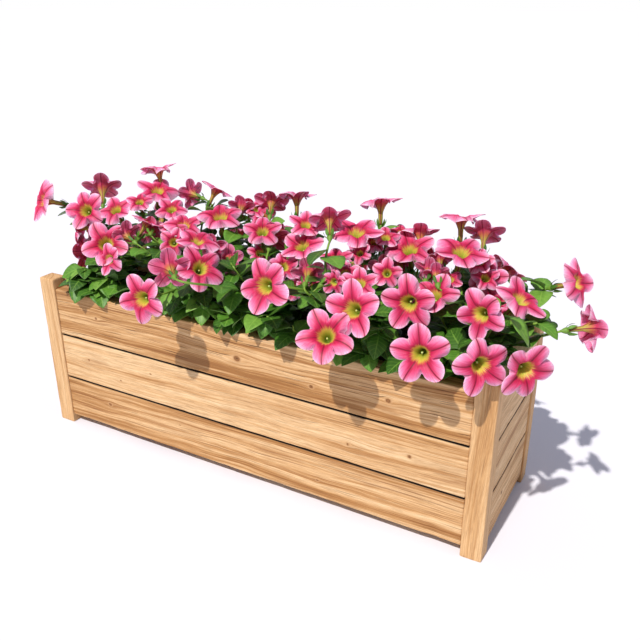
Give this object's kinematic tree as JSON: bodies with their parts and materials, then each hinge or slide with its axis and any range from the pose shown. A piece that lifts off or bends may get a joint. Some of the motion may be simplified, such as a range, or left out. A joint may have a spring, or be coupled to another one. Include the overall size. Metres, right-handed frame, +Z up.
{
  "type": "planted window box",
  "caption": "Long slatted wooden trough on four corner posts, filled with compost and planted with trumpet-shaped pink petunias on leafy stems.",
  "frame": {"origin": "middle of the foot of the whole bounding box, blooms included; the trough's own middle is 15 mm to -X and 16 mm to +Y of it", "axes": "+X along the trough to its right end, -Y out of the front planks, +Z up"},
  "size_m": [0.983, 0.4144, 0.4602],
  "materials": {
    "pine": "weathered, oiled, matte",
    "shaded_pine": "raw sawn, matte",
    "compost": "crumbly, dark, matte",
    "foliage": "soft, slightly glossy leaf",
    "petals": "thin, satin, slightly translucent"
  },
  "bodies": {
    "root": {"bloom_01": "petals", "bloom_02": "petals", "bloom_04": "petals", "bloom_08": "petals", "bloom_09": "petals", "bloom_10": "petals", "bloom_12": "petals", "bloom_13": "petals", "bloom_14a": "petals", "bloom_15": "petals", "bloom_19": "petals", "bloom_20": "petals", "bloom_23": "petals", "bloom_25": "petals", "bloom_30": "petals", "bloom_31": "petals", "bloom_32": "petals", "bloom_34a": "petals", "bloom_35": "petals", "bloom_36": "petals", "bloom_37": "petals", "bloom_group_03": "petals", "bloom_group_05": "petals", "bloom_group_07": "petals", "bloom_group_08": "petals", "bloom_group_14": "petals", "bloom_group_16": "petals", "bloom_group_18": "petals", "bloom_group_21": "petals", "bloom_group_24": "petals", "bloom_group_26": "petals", "bloom_group_27": "petals", "bloom_group_28": "petals", "bloom_group_29": "petals", "bloom_group_33": "petals", "bloom_group_34": "petals", "floor_board": "shaded_pine", "plank_back_lower": "pine", "plank_back_middle": "pine", "plank_back_upper": "pine", "plank_front_lower": "pine", "plank_front_middle": "pine", "plank_front_upper": "pine", "plank_left_lower": "pine", "plank_left_middle": "pine", "plank_left_upper": "pine", "plank_right_lower": "pine", "plank_right_middle": "pine", "plank_right_upper": "pine", "plant_1": "foliage", "plant_2": "foliage", "plant_3": "foliage", "plant_4": "foliage", "plant_5": "foliage", "post_back_left": "pine", "post_back_right": "pine", "post_front_left": "pine", "post_front_right": "pine", "soil": "compost"}
  },
  "joints": []
}
